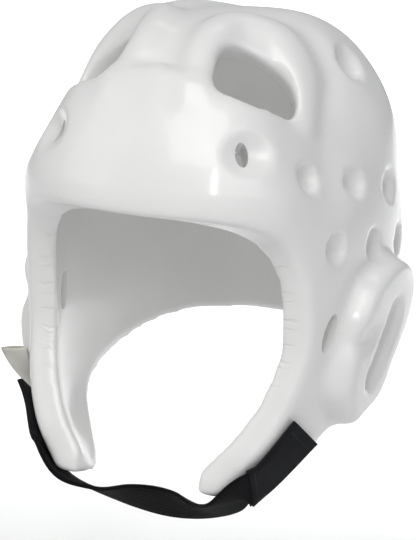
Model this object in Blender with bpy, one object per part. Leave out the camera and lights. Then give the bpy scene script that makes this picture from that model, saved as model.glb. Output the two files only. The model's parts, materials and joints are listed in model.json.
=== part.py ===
# Dipped foam head guard for sparring: shell, forehead pad, two ear cups, a chin strap and a side label.
# Metres, +Z up. The wearer faces -Y and the wearer's left is +X.
# The origin is the top of the hollow, where the guard sits on the crown of the head.

import math

import bmesh
import bpy
from mathutils import Matrix, Vector

# Driving sizes of the shell
GUARD_HEIGHT = 0.264
HALF_WIDTH = 0.101
FRONT_REACH = 0.112
BACK_REACH = 0.124
WALL = 0.018
FIT_GAP = 0.0003
POINT_SIZE = 0.00001
CHIN_GAP = 0.075
CHIN_GAP_TOP = 0.86

# Forehead pad
PAD_THICKNESS = 0.009
PAD_EDGE = 0.0025
PAD_HALF_TURN = 74.0
PAD_TAPER_TURN = 30.0
PAD_EDGE_TURN_SHARE = 0.2
PAD_LIP_SHARE = 0.17

# Vent windows in the crown, with the arch that rises over each
VENT_SCOOP_WIDTH = 0.060
VENT_SCOOP_HEIGHT = 0.046
VENT_SCOOP_DEPTH = 0.009
ARCH_THICKNESS = 0.019
ARCH_SINK = 0.004

# Holes and dimples
FUNNEL_WIDTH = 0.025
FUNNEL_HEIGHT = 0.022
FUNNEL_DEPTH = 0.006
FUNNEL_HOLE_WIDTH = 0.0065
FUNNEL_HOLE_HEIGHT = 0.011
EAR_HOLE_WIDTH = 0.011
EAR_HOLE_HEIGHT = 0.021
EAR_HOLE_SLANT = 22.0
DIMPLE_WIDTH = 0.017
DIMPLE_HEIGHT = 0.017
DIMPLE_DEPTH = 0.0045
VALLEY_DIMPLE_WIDTH = 0.019

# Ear cups
EAR_TURN = 93.0
EAR_DROP = 0.695
EAR_LEAN = 22.0
EAR_CUP_HEIGHT = 0.095
EAR_CUP_WIDTH = 0.060
EAR_CUP_STAND = 0.016
EAR_RECESS_HEIGHT = 0.050
EAR_RECESS_WIDTH = 0.024
EAR_RECESS_DEPTH = 0.014

# Chin strap
STRAP_WIDTH = 0.028
STRAP_THICKNESS = 0.003
TAB_SHARE = 0.30
TAB_EXTRA = 0.0006
STRAP_LEAN = 42.0

# Side label
LABEL_WIDTH = 0.016
LABEL_HEIGHT = 0.026
LABEL_THICKNESS = 0.0012
LABEL_SPREAD = 0.006
LABEL_ROOT_GAP = 0.0008
LABEL_TURN = -66.0
LABEL_DROP = 0.80

# Mesh fineness
OUTER_SIDES = 56
OUTER_STEPS_PER_ROW = 2
INNER_SIDES = 36
HOLE_SIDES = 14
HOLLOW_STEPS = 6
ARCH_SIDES = 10
EAR_SIDES = 32
PAD_COLUMNS = 40
PAD_ROWS = 8
CUTTER_REACH = 0.06
SHARP_ANGLE = 35.0
SEARCH_STEPS = 40
SMALL_LEVEL = 0.02
CROWN_LEVEL = 0.05
MIRROR_SIDES = (1.0, -1.0)

# Level sections of the shell from the crown down. Drop is a share of GUARD_HEIGHT, width of HALF_WIDTH,
# front of FRONT_REACH and back of BACK_REACH. Square is the exponent of the section's outline: 2 gives an
# ellipse and more gives fuller corners. The last rows close the form below the rim.
SECTION_COLUMNS = ("drop", "width", "front", "back", "square")
SECTIONS = (
    (0.000, 0.000, 0.000, 0.000, 2.1),
    (0.011, 0.250, 0.255, 0.225, 2.1),
    (0.042, 0.455, 0.430, 0.475, 2.1),
    (0.095, 0.615, 0.565, 0.710, 2.2),
    (0.167, 0.750, 0.695, 0.870, 2.3),
    (0.250, 0.868, 0.810, 0.955, 2.4),
    (0.348, 0.955, 0.905, 0.995, 2.4),
    (0.455, 0.995, 0.965, 1.000, 2.4),
    (0.568, 0.985, 1.000, 0.976, 2.5),
    (0.682, 0.958, 1.030, 0.935, 2.6),
    (0.788, 0.922, 1.075, 0.879, 2.6),
    (0.879, 0.864, 1.115, 0.806, 2.4),
    (0.955, 0.765, 1.140, 0.726, 2.1),
    (1.030, 0.640, 1.120, 0.645, 2.0),
    (1.106, 0.425, 0.890, 0.484, 2.0),
    (1.136, 0.000, 0.000, 0.000, 2.0),
)

# Edges seen from the side. Reach is a share of FRONT_REACH where it is negative and of BACK_REACH where it
# is positive; drop is a share of GUARD_HEIGHT.
FACE_EDGE = (
    (-1.150, 0.355),
    (-0.970, 0.357),
    (-0.860, 0.364),
    (-0.750, 0.384),
    (-0.645, 0.420),
    (-0.575, 0.475),
    (-0.535, 0.550),
    (-0.522, 0.625),
    (-0.542, 0.680),
    (-0.600, 0.738),
    (-0.660, 0.788),
    (-0.730, 0.838),
    (-0.785, 0.875),
    (-0.815, 0.905),
    (-0.845, 0.930),
    (-0.865, 0.947),
)
NECK_EDGE = (
    (1.000, 0.770),
    (0.720, 0.780),
    (0.400, 0.800),
    (0.120, 0.825),
    (-0.130, 0.852),
    (-0.270, 0.893),
    (-0.370, 0.935),
    (-0.470, 0.975),
    (-0.620, 0.988),
    (-0.900, 0.962),
)
EDGE_MARGIN = 1.45
EDGE_STEPS = 3

# Top edge of the forehead pad: turn in degrees from the front, drop as a share of GUARD_HEIGHT
PAD_TOP = ((0.0, 0.090), (25.0, 0.106), (43.0, 0.134), (60.0, 0.174), (74.0, 0.205))
PAD_BOTTOM = 0.385

# Outline of a vent window on the skin and the crest of the arch over it
VENT_WINDOW = (
    (27.0, 0.116),
    (44.0, 0.145),
    (61.0, 0.182),
    (66.0, 0.142),
    (65.0, 0.103),
    (56.0, 0.070),
    (43.0, 0.050),
    (31.0, 0.062),
)
VENT_CENTRE = (48.0, 0.110)
ARCH_CREST = (
    (20.0, 0.130),
    (20.0, 0.075),
    (26.0, 0.032),
    (50.0, 0.014),
    (76.0, 0.030),
    (76.0, 0.062),
    (71.0, 0.118),
    (63.0, 0.190),
)

# Round hollows on one side: turn in degrees, drop as a share of GUARD_HEIGHT
FUNNEL_PLACE = (36.5, 0.236)
EAR_HOLE_PLACE = (65.0, 0.629)
VALLEY_DIMPLE_PLACE = (112.0, 0.126)
DIMPLE_ROWS = (
    {"first_turn": 61.0, "pitch": 24.0, "count": 5, "first_drop": 0.292, "drop_step": 0.042},
    {"first_turn": 69.0, "pitch": 23.5, "count": 5, "first_drop": 0.450, "drop_step": 0.030},
)

# Rings of an ear cup from its root outwards, then into its recess: stand as a share of EAR_CUP_STAND, then
# size, which runs from 1 at the outer wall to 0 at the recess wall. The recess floor is smaller again.
EAR_RINGS = (
    (-0.60, 1.08),
    (0.20, 1.00),
    (0.80, 0.92),
    (1.00, 0.72),
    (1.00, 0.30),
    (0.86, 0.06),
    (0.45, -0.05),
)
EAR_FLOOR_WIDTH_SHARE = 0.60
EAR_FLOOR_HEIGHT_SHARE = 0.75

# Half of the strap's way, from under the chin to its end on the cheek. The first rows hang free: side is a
# share of HALF_WIDTH, ahead of FRONT_REACH and drop of GUARD_HEIGHT. The others lie on the skin.
STRAP_FREE = ((0.00, 0.620, 1.034), (0.20, 0.640, 1.034), (0.41, 0.720, 1.036))
STRAP_ON_SKIN = ((34.0, 0.975), (44.0, 0.935), (57.0, 0.852))
STRAP_STEPS = 4
STRAP_CLEARANCE = 0.0016

# Outline of the folded label across its fold, on one side: half spread as a share of LABEL_SPREAD and how far
# it stands out as a share of LABEL_WIDTH
LABEL_OUTLINE = ((0.50, 0.00), (0.35, 0.60))
LABEL_FOLD_WALLS = 1.6
LABEL_STEPS = (-0.5, 0.0, 0.5)

# Cutters of the shell and of the forehead pad, in the order in which they cut
SHELL_CUTS = (
    "scoops",
    "windows",
    "inner",
    "chin_gap",
    "face",
    "neck",
    "funnel_holes",
    "ear_holes",
    "dimples",
    "valley_dimples",
)
PAD_CUTS = ("arch_room", "face", "funnels", "funnel_holes")

# Base colour and roughness of each material
COLOURS = {
    "dipped_vinyl": ((0.86, 0.86, 0.85, 1.0), 0.30),
    "strap_fabric": ((0.025, 0.026, 0.030, 1.0), 0.85),
    "label_cloth": ((0.70, 0.68, 0.62, 1.0), 0.90),
}


def clear_scene():
    """Remove the objects the session starts with."""
    for thing in list(bpy.data.objects):
        bpy.data.objects.remove(thing)


def make_material(name):
    """Make one material from the table of colours."""
    colour, roughness = COLOURS[name]
    material = bpy.data.materials.new(name)
    material.use_nodes = True
    shader = material.node_tree.nodes["Principled BSDF"]
    shader.inputs["Base Color"].default_value = colour
    shader.inputs["Roughness"].default_value = roughness
    shader.inputs["Metallic"].default_value = 0.0
    return material


def smooth_step(before, start, end, after, part):
    """Value of a smooth curve between start and end."""
    return 0.5 * (
        2.0 * start
        + (end - before) * part
        + (2.0 * before - 5.0 * start + 4.0 * end - after) * part**2
        + (3.0 * start - before - 3.0 * end + after) * part**3
    )


def section_row(column, row):
    """Value of a section column, mirrored past the crown and past the base so that both close round."""
    last = len(SECTIONS) - 1
    index = SECTION_COLUMNS.index(column)
    inside = -row if row < 0 else (2 * last - row if row > last else row)
    value = SECTIONS[inside][index]
    if inside == row:
        return value
    if column == "square" or (column == "drop" and row < 0):
        return value
    return 2.0 * SECTIONS[last][index] - value if column == "drop" else -value


def section_value(column, level):
    """Smooth value of one section column at a level counted in rows."""
    row = min(int(level), len(SECTIONS) - 2)
    near = [section_row(column, row + step) for step in (-1, 0, 1, 2)]
    return smooth_step(*near, level - row)


def form_point(turn, level):
    """Point of the shell's outer form at a turn in degrees from the front and a level in rows."""
    angle = math.radians(turn)
    sine, cosine = math.sin(angle), math.cos(angle)
    width = max(section_value("width", level) * HALF_WIDTH, POINT_SIZE)
    if cosine > 0.0:
        reach = max(section_value("front", level) * FRONT_REACH, POINT_SIZE)
    else:
        reach = max(section_value("back", level) * BACK_REACH, POINT_SIZE)
    square = section_value("square", level)
    radius = (abs(sine / width) ** square + abs(cosine / reach) ** square) ** (-1.0 / square)
    return Vector((radius * sine, -radius * cosine, WALL - section_value("drop", level) * GUARD_HEIGHT))


def form_normal(turn, level):
    """Outward direction of the form."""
    level = min(max(level, 2.0 * SMALL_LEVEL), len(SECTIONS) - 1 - 2.0 * SMALL_LEVEL)
    along = form_point(turn + 1.0, level) - form_point(turn - 1.0, level)
    down = form_point(turn, level + SMALL_LEVEL) - form_point(turn, level - SMALL_LEVEL)
    return down.cross(along).normalized()


def grown_point(turn, level, grow):
    """Point of the form moved outwards by a distance."""
    if level < CROWN_LEVEL:
        return Vector((0.0, 0.0, WALL + grow))
    return form_point(turn, level) + form_normal(turn, level) * grow


def level_at(drop):
    """Level at which the form has dropped by a share of its height."""
    low = 0.0
    high = float(len(SECTIONS) - 1)
    for _ in range(SEARCH_STEPS):
        middle = 0.5 * (low + high)
        if section_value("drop", middle) < drop:
            low = middle
        else:
            high = middle
    return low


def skin_point(turn, drop, grow=0.0):
    """Point over the skin at a turn and a drop."""
    return grown_point(turn, level_at(drop), grow)


def skin_frame(turn, drop, side):
    """Frame on the skin: X runs backwards round the guard, Y up and Z out of the skin. Side mirrors it."""
    level = level_at(drop)
    out = form_normal(turn, level)
    along = form_point(turn + 1.0, level) - form_point(turn - 1.0, level)
    along = (along - out * along.dot(out)).normalized()
    up = out.cross(along)
    if up.z < 0.0:
        up.negate()
    frame = Matrix((along, up, out)).transposed().to_4x4()
    frame.translation = form_point(turn, level)
    return Matrix.Diagonal((side, 1.0, 1.0, 1.0)) @ frame


def new_object(name, bm, material=None):
    """Turn a bmesh into an object of the scene."""
    bmesh.ops.recalc_face_normals(bm, faces=bm.faces)
    mesh = bpy.data.meshes.new(name)
    bm.to_mesh(mesh)
    bm.free()
    thing = bpy.data.objects.new(name, mesh)
    bpy.context.scene.collection.objects.link(thing)
    if material:
        mesh.materials.append(material)
        mesh.shade_smooth()
        mesh.set_sharp_from_angle(angle=math.radians(SHARP_ANGLE))
    return thing


def new_cutter(name, bm):
    """Make an object that only shapes others."""
    cutter = new_object(name, bm)
    cutter.hide_render = True
    cutter.display_type = "WIRE"
    return cutter


def combine(target, other, operation):
    """Add a Boolean modifier."""
    modifier = target.modifiers.new(other.name, "BOOLEAN")
    modifier.operation = operation
    modifier.solver = "EXACT"
    modifier.object = other


def form_mesh(grow, sides, steps_per_row):
    """Sphere drawn out to the form, moved outwards by a distance."""
    rows = len(SECTIONS) - 1
    bm = bmesh.new()
    bmesh.ops.create_uvsphere(bm, u_segments=sides, v_segments=rows * steps_per_row, radius=1.0)
    for vert in bm.verts:
        fall = math.acos(max(-1.0, min(1.0, vert.co.z)))
        turn = math.degrees(math.atan2(vert.co.x, -vert.co.y))
        vert.co = grown_point(turn, fall / math.pi * rows, grow)
    return bm


def add_loft(bm, rings):
    """Join rings of points with the same count into a closed body with flat ends."""
    loops = [[bm.verts.new(point) for point in ring] for ring in rings]
    count = len(rings[0])
    for first, second in zip(loops, loops[1:]):
        for index in range(count):
            after = (index + 1) % count
            bm.faces.new((first[index], first[after], second[after], second[index]))
    bm.faces.new(loops[0])
    bm.faces.new(loops[-1])


def smooth_path(points, steps):
    """Points of a smooth curve through given points."""
    vectors = [Vector(point) for point in points]
    ends = [2.0 * vectors[0] - vectors[1]] + vectors + [2.0 * vectors[-1] - vectors[-2]]
    path = []
    for index in range(1, len(ends) - 2):
        for step in range(steps):
            path.append(smooth_step(*ends[index - 1:index + 3], step / steps))
    path.append(vectors[-1])
    return path


def edge_point(reach, drop):
    """Point of a side edge, in the plane of the guard's middle."""
    size = FRONT_REACH if reach < 0.0 else BACK_REACH
    return Vector((0.0, reach * size, WALL - drop * GUARD_HEIGHT))


def edge_prism(name, edge, corners):
    """Prism right across the guard behind a smooth edge seen from the side, closed by corner points."""
    outline = smooth_path([edge_point(*row) for row in edge], EDGE_STEPS)
    outline += [edge_point(*row) for row in corners]
    bm = bmesh.new()
    shift = Vector((HALF_WIDTH * EDGE_MARGIN, 0.0, 0.0))
    add_loft(bm, [[point - shift for point in outline], [point + shift for point in outline]])
    return new_cutter(name, bm)


def face_cutter():
    """Everything in front of the face opening's edge."""
    tip = FACE_EDGE[-1]
    corners = ((tip[0], EDGE_MARGIN), (-EDGE_MARGIN, EDGE_MARGIN), (-EDGE_MARGIN, FACE_EDGE[0][1]))
    return edge_prism("face_cutter", FACE_EDGE, corners)


def neck_cutter():
    """Everything below the lower rim."""
    first, last = NECK_EDGE[0], NECK_EDGE[-1]
    corners = (
        (-EDGE_MARGIN, last[1]),
        (-EDGE_MARGIN, EDGE_MARGIN),
        (EDGE_MARGIN, EDGE_MARGIN),
        (EDGE_MARGIN, first[1]),
    )
    return edge_prism("neck_cutter", NECK_EDGE, corners)


def ellipse_ring(frame, width, height, stand, slant=0.0, sides=HOLE_SIDES):
    """Ring of points on an ellipse in a frame, at a stand off its plane."""
    turned = frame @ Matrix.Rotation(math.radians(slant), 4, "Z")
    ring = []
    for index in range(sides):
        angle = 2.0 * math.pi * index / sides
        ring.append(turned @ Vector((0.5 * width * math.cos(angle), 0.5 * height * math.sin(angle), stand)))
    return ring


def hollow_cutter(name, places, width, height, depth, stand=0.0):
    """Rounded hollows pressed into the skin, or into a layer that stands on it, at places on both sides."""
    bm = bmesh.new()
    for side in MIRROR_SIDES:
        for turn, drop in places:
            place = skin_frame(turn, drop, side) @ Matrix.Translation((0.0, 0.0, stand))
            shape = place @ Matrix.Diagonal((width / 2.0, height / 2.0, depth, 1.0))
            bmesh.ops.create_uvsphere(
                bm, u_segments=HOLE_SIDES, v_segments=HOLLOW_STEPS, radius=1.0, matrix=shape)
    return new_cutter(name, bm)


def hole_cutter(name, place, width, height, slant):
    """Oval holes through the wall at one place on both sides."""
    bm = bmesh.new()
    for side in MIRROR_SIDES:
        frame = skin_frame(*place, side)
        rings = [ellipse_ring(frame, width, height, stand, slant) for stand in (-CUTTER_REACH, CUTTER_REACH)]
        add_loft(bm, rings)
    return new_cutter(name, bm)


def window_cutter():
    """Vent windows through the crown, straight along the sill and round above."""
    bm = bmesh.new()
    for side in MIRROR_SIDES:
        mirror = Matrix.Diagonal((side, 1.0, 1.0, 1.0))
        out = form_normal(VENT_CENTRE[0], level_at(VENT_CENTRE[1]))
        outline = [skin_point(*place) for place in VENT_WINDOW]
        curved = smooth_path(outline[2:] + outline[:1], 2)
        ring = outline[:2] + curved[:-1]
        rings = [[mirror @ (point + out * move) for point in ring] for move in (-CUTTER_REACH, CUTTER_REACH)]
        add_loft(bm, rings)
    return new_cutter("window_cutter", bm)


def arches(name, thickness):
    """Raised round rims that cross the crown over each vent."""
    bm = bmesh.new()
    for side in MIRROR_SIDES:
        mirror = Matrix.Diagonal((side, 1.0, 1.0, 1.0))
        path = smooth_path([skin_point(*place, -ARCH_SINK) for place in ARCH_CREST], 2)
        rings = []
        for index, point in enumerate(path):
            ahead = path[min(index + 1, len(path) - 1)] - path[max(index - 1, 0)]
            frame = ahead.to_track_quat("Z", "Y").to_matrix().to_4x4()
            frame.translation = point
            rings.append(ellipse_ring(mirror @ frame, thickness, thickness, 0.0, sides=ARCH_SIDES))
        add_loft(bm, rings)
    return new_cutter(name, bm)


def dimple_places():
    """Places of the dimples of one side, in rows that run on round the back."""
    places = []
    for row in DIMPLE_ROWS:
        for index in range(row["count"]):
            turn = row["first_turn"] + index * row["pitch"]
            places.append((turn, row["first_drop"] + index * row["drop_step"]))
    return places


def chin_gap_cutter():
    """Space between the blunt ends of the two cheeks."""
    bm = bmesh.new()
    top = WALL - CHIN_GAP_TOP * GUARD_HEIGHT
    bottom = WALL - EDGE_MARGIN * GUARD_HEIGHT
    depth = EDGE_MARGIN * FRONT_REACH
    place = Matrix.Translation((0.0, -depth, 0.5 * (top + bottom)))
    size = Matrix.Diagonal((CHIN_GAP, 2.0 * depth, top - bottom, 1.0))
    bmesh.ops.create_cube(bm, size=1.0, matrix=place @ size)
    return new_cutter("chin_gap", bm)


def make_cutters():
    """All the shapes that cut the shell, by name."""
    return {
        "inner": new_cutter("inner_form", form_mesh(-WALL, INNER_SIDES, 1)),
        "skin": new_cutter("skin_form", form_mesh(FIT_GAP, OUTER_SIDES, OUTER_STEPS_PER_ROW)),
        "face": face_cutter(),
        "neck": neck_cutter(),
        "chin_gap": chin_gap_cutter(),
        "arches": arches("arches", ARCH_THICKNESS),
        "arch_room": arches("arch_room", ARCH_THICKNESS + 2.0 * FIT_GAP),
        "scoops": hollow_cutter(
            "vent_scoops", [VENT_CENTRE], VENT_SCOOP_WIDTH, VENT_SCOOP_HEIGHT, VENT_SCOOP_DEPTH),
        "windows": window_cutter(),
        "funnels": hollow_cutter(
            "funnels", [FUNNEL_PLACE], FUNNEL_WIDTH, FUNNEL_HEIGHT, FUNNEL_DEPTH, PAD_THICKNESS),
        "funnel_holes": hole_cutter("funnel_holes", FUNNEL_PLACE, FUNNEL_HOLE_WIDTH, FUNNEL_HOLE_HEIGHT, 0.0),
        "ear_holes": hole_cutter(
            "ear_holes", EAR_HOLE_PLACE, EAR_HOLE_WIDTH, EAR_HOLE_HEIGHT, EAR_HOLE_SLANT),
        "dimples": hollow_cutter("dimples", dimple_places(), DIMPLE_WIDTH, DIMPLE_HEIGHT, DIMPLE_DEPTH),
        "valley_dimples": hollow_cutter(
            "valley_dimples", [VALLEY_DIMPLE_PLACE], VALLEY_DIMPLE_WIDTH, VALLEY_DIMPLE_WIDTH, DIMPLE_DEPTH),
    }


def build_shell(cutters, material):
    """One foam wall over the crown, the sides, the back and down both cheeks."""
    shell = new_object("shell", form_mesh(0.0, OUTER_SIDES, OUTER_STEPS_PER_ROW), material)
    combine(shell, cutters["arches"], "UNION")
    for name in SHELL_CUTS:
        combine(shell, cutters[name], "DIFFERENCE")
    return shell


def pad_top(turn):
    """Drop of the forehead pad's top edge at a turn."""
    turn = abs(turn)
    for (turn_a, drop_a), (turn_b, drop_b) in zip(PAD_TOP, PAD_TOP[1:]):
        if turn <= turn_b:
            part = (turn - turn_a) / (turn_b - turn_a)
            part = part * part * (3.0 - 2.0 * part)
            return drop_a + (drop_b - drop_a) * part
    return PAD_TOP[-1][1]


def build_forehead_pad(cutters, material):
    """Thick pad over the brow, thinner at its ends and rounded along its edges."""
    bm = bmesh.new()
    bmesh.ops.create_grid(bm, x_segments=PAD_COLUMNS, y_segments=PAD_ROWS, size=1.0)
    grown = bmesh.ops.extrude_face_region(bm, geom=bm.faces[:], use_keep_orig=True)
    outer = {item for item in grown["geom"] if isinstance(item, bmesh.types.BMVert)}
    for vert in bm.verts:
        turn = vert.co.x * PAD_HALF_TURN
        height = 0.5 * (vert.co.y + 1.0)
        top = pad_top(turn)
        drop = PAD_BOTTOM + (top - PAD_BOTTOM) * height
        grow = FIT_GAP
        if vert in outer:
            end = min(1.0, (1.0 - abs(vert.co.x)) * PAD_HALF_TURN / PAD_TAPER_TURN)
            lip = min(1.0, (1.0 - height) / PAD_LIP_SHARE)
            swell = PAD_THICKNESS * math.sin(0.5 * math.pi * end) * math.sqrt(1.0 - (1.0 - lip) ** 2)
            grow += max(PAD_EDGE, swell) if end > PAD_EDGE_TURN_SHARE else PAD_EDGE
        vert.co = skin_point(turn, drop, grow)
    pad = new_object("forehead_pad", bm, material)
    for name in PAD_CUTS:
        combine(pad, cutters[name], "DIFFERENCE")
    return pad


def build_ear_cup(name, side, cutters, material):
    """Raised oval cup round the ear with a long recess in its face."""
    frame = skin_frame(EAR_TURN, EAR_DROP, side) @ Matrix.Rotation(math.radians(EAR_LEAN), 4, "Z")
    rings = []
    for stand, size in EAR_RINGS:
        width = EAR_RECESS_WIDTH + (EAR_CUP_WIDTH - EAR_RECESS_WIDTH) * size
        height = EAR_RECESS_HEIGHT + (EAR_CUP_HEIGHT - EAR_RECESS_HEIGHT) * size
        rings.append(ellipse_ring(frame, width, height, stand * EAR_CUP_STAND, sides=EAR_SIDES))
    floor_width = EAR_RECESS_WIDTH * EAR_FLOOR_WIDTH_SHARE
    floor_height = EAR_RECESS_HEIGHT * EAR_FLOOR_HEIGHT_SHARE
    floor = EAR_CUP_STAND - EAR_RECESS_DEPTH
    rings.append(ellipse_ring(frame, floor_width, floor_height, floor, sides=EAR_SIDES))
    bm = bmesh.new()
    add_loft(bm, rings)
    cup = new_object(name, bm, material)
    combine(cup, cutters["skin"], "DIFFERENCE")
    return cup


def strap_half():
    """Half of the strap's middle line from the chin to its end on one cheek, with its outward directions."""
    lean = math.radians(STRAP_LEAN)
    points, outs = [], []
    for side, ahead, drop in STRAP_FREE:
        points.append(Vector((side * HALF_WIDTH, -ahead * FRONT_REACH, WALL - drop * GUARD_HEIGHT)))
        outs.append(Vector((0.0, -math.cos(lean), -math.sin(lean))))
    for turn, drop in STRAP_ON_SKIN:
        points.append(skin_point(turn, drop, STRAP_CLEARANCE + 0.5 * STRAP_THICKNESS))
        outs.append(form_normal(turn, level_at(drop)))
    return points, outs


def strap_frames():
    """Frames along the whole strap, from its end on the right cheek to its end on the left."""
    points, outs = strap_half()
    mirror = Matrix.Diagonal((-1.0, 1.0, 1.0))
    points = [mirror @ point for point in points[:0:-1]] + points
    outs = [mirror @ out for out in outs[:0:-1]] + outs
    path = smooth_path(points, STRAP_STEPS)
    facing = smooth_path(outs, STRAP_STEPS)
    frames = []
    for index, point in enumerate(path):
        ahead = (path[min(index + 1, len(path) - 1)] - path[max(index - 1, 0)]).normalized()
        out = (facing[index] - ahead * facing[index].dot(ahead)).normalized()
        frames.append((point, ahead.cross(out), out))
    return frames


def strap_piece(name, frames, thickness, material):
    """Flat band along some of the strap's frames."""
    rings = []
    for point, across, out in frames:
        half_width, half_depth = 0.5 * STRAP_WIDTH, 0.5 * thickness
        rings.append([
            point + across * a * half_width + out * b * half_depth
            for a, b in ((-1.0, -1.0), (1.0, -1.0), (1.0, 1.0), (-1.0, 1.0))
        ])
    bm = bmesh.new()
    add_loft(bm, rings)
    return new_object(name, bm, material)


def build_strap(material):
    """Elastic under the chin with a hook tab at each end, all in one line."""
    frames = strap_frames()
    tab = round(len(frames) * 0.5 * TAB_SHARE)
    pieces = {
        "strap_tab_right": frames[:tab + 1],
        "chin_elastic": frames[tab:len(frames) - tab],
        "strap_tab_left": frames[len(frames) - tab - 1:],
    }
    for name, part in pieces.items():
        part = list(part)
        if name == "chin_elastic":
            for end, inside in ((0, 1), (-1, -2)):
                point, across, out = part[end]
                inward = (part[inside][0] - point).normalized()
                part[end] = (point + inward * FIT_GAP, across, out)
        extra = 0.0 if name == "chin_elastic" else TAB_EXTRA
        strap_piece(name, part, STRAP_THICKNESS + extra, material)


def build_label(material):
    """Small folded cloth label that stands out from the side of the right cheek."""
    frame = skin_frame(abs(LABEL_TURN), LABEL_DROP, math.copysign(1.0, LABEL_TURN))
    half = [(share * LABEL_SPREAD, LABEL_ROOT_GAP + rise * LABEL_WIDTH) for share, rise in LABEL_OUTLINE]
    outer = [(x + LABEL_THICKNESS, z) for x, z in half]
    outer += [(0.0, LABEL_WIDTH)] + [(-x, z) for x, z in reversed(outer)]
    inner = [(-x, z) for x, z in half]
    inner += [(0.0, LABEL_WIDTH - LABEL_FOLD_WALLS * LABEL_THICKNESS)] + [(-x, z) for x, z in reversed(inner)]
    rings = []
    for share in LABEL_STEPS:
        rings.append([frame @ Vector((x, share * LABEL_HEIGHT, z)) for x, z in outer + inner])
    bm = bmesh.new()
    add_loft(bm, rings)
    return new_object("side_label", bm, material)


def main():
    """Build every piece."""
    clear_scene()
    vinyl = make_material("dipped_vinyl")
    fabric = make_material("strap_fabric")
    cloth = make_material("label_cloth")
    cutters = make_cutters()
    build_shell(cutters, vinyl)
    build_forehead_pad(cutters, vinyl)
    build_ear_cup("ear_cup_left", 1.0, cutters, vinyl)
    build_ear_cup("ear_cup_right", -1.0, cutters, vinyl)
    build_strap(fabric)
    build_label(cloth)


main()
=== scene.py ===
"""Dresses the dipped foam head guard: one soft vinyl skin, the chin strap and its tabs, and the side label."""

import json
import logging
import math
from dataclasses import dataclass, field
from enum import Enum

import bmesh
import bpy
import numpy as np
from mathutils import Matrix, Vector

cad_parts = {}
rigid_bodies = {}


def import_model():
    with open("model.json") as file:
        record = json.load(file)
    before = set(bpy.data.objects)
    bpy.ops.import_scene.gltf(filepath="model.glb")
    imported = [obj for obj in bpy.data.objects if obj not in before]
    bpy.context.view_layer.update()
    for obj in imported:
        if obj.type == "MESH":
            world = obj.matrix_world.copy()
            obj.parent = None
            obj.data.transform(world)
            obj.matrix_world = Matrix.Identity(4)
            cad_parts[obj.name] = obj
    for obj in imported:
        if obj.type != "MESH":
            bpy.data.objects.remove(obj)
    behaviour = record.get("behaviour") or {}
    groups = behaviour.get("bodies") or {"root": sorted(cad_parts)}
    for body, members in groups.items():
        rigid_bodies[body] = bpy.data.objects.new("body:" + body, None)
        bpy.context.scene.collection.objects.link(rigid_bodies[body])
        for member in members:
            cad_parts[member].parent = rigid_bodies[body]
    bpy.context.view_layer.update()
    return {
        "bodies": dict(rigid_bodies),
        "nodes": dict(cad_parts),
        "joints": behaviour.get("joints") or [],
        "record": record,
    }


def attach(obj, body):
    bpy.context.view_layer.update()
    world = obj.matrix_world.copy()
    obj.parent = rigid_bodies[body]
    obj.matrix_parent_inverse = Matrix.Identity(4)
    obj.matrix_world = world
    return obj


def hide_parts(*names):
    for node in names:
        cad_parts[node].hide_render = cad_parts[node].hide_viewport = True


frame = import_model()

Array = np.ndarray
Thing = bpy.types.Object
Material = bpy.types.Material
Tree = bpy.types.NodeTree
Node = bpy.types.Node
Socket = bpy.types.NodeSocket
Pair = tuple[float, float]
Outline = tuple[Pair, ...]
Colour = tuple[float, float, float, float]
Strip = list[tuple[Vector, Vector, Vector]]

LOG = logging.getLogger("head_guard")
BODY = "root"
SIDES = (1.0, -1.0)


class Slot(Enum):
    """Material slots of the record."""

    VINYL = "dipped_vinyl"
    ELASTIC = "strap_elastic"
    FABRIC = "strap_fabric"
    LABEL = "label_cloth"


def smooth_step(value: Array, low: float, high: float) -> Array:
    """Rise smoothly from 0 at low to 1 at high.

    Args:
        value: Numbers to place between the two ends.
        low: Value at which the rise starts.
        high: Value at which the rise ends.

    Returns:
        Numbers from 0 to 1.
    """
    part = np.clip((value - low) / (high - low), 0.0, 1.0)
    return part * part * (3.0 - 2.0 * part)


def hump(away: Array, width: float, power: float = 2.0) -> Array:
    """Bell curve that is 1 in its middle.

    Args:
        away: Distances from the middle.
        width: Distance at which the curve has fallen to 37%.
        power: How flat the top is; 2 gives the plain bell.

    Returns:
        Numbers from 0 to 1.
    """
    return np.exp(-(np.abs(away / width) ** power))


def curve_value(before, start, end, after, part):
    """Value of a Catmull-Rom curve between start and end.

    Args:
        before: Value ahead of start.
        start: Value at part 0.
        end: Value at part 1.
        after: Value behind end.
        part: How far along the stretch, from 0 to 1.

    Returns:
        The value on the curve.
    """
    return 0.5 * (
        2.0 * start
        + (end - before) * part
        + (2.0 * before - 5.0 * start + 4.0 * end - after) * part**2
        + (3.0 * start - before - 3.0 * end + after) * part**3
    )


def smooth_path(points: list[Vector], steps: int) -> list[Vector]:
    """Points of a smooth curve through given points.

    Args:
        points: Points that the curve passes through.
        steps: New points for each stretch.

    Returns:
        Points along the curve, with both ends.
    """
    ends = [2.0 * points[0] - points[1], *points, 2.0 * points[-1] - points[-2]]
    path = []
    for index in range(1, len(ends) - 2):
        for step in range(steps):
            path.append(curve_value(*ends[index - 1:index + 3], step / steps))
    path.append(points[-1].copy())
    return path


def join_rings(bm: bmesh.types.BMesh, rings: list[list[Vector]]) -> list[list[bmesh.types.BMVert]]:
    """Join rings of points with the same count into a closed body.

    Args:
        bm: Mesh that takes the body.
        rings: Rings in order from one end to the other.

    Returns:
        The points of each ring.
    """
    loops, made = [], []
    for ring in rings:
        verts = [bm.verts.new(point) for point in ring]
        edges = [bm.edges.new((a, b)) for a, b in zip(verts, verts[1:] + verts[:1])]
        loops.append(edges)
        made.append(verts)
    for first, second in zip(loops, loops[1:]):
        bmesh.ops.bridge_loops(bm, edges=first + second)
    for loop in (loops[0], loops[-1]):
        bmesh.ops.contextual_create(bm, geom=loop)
    return made


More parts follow.
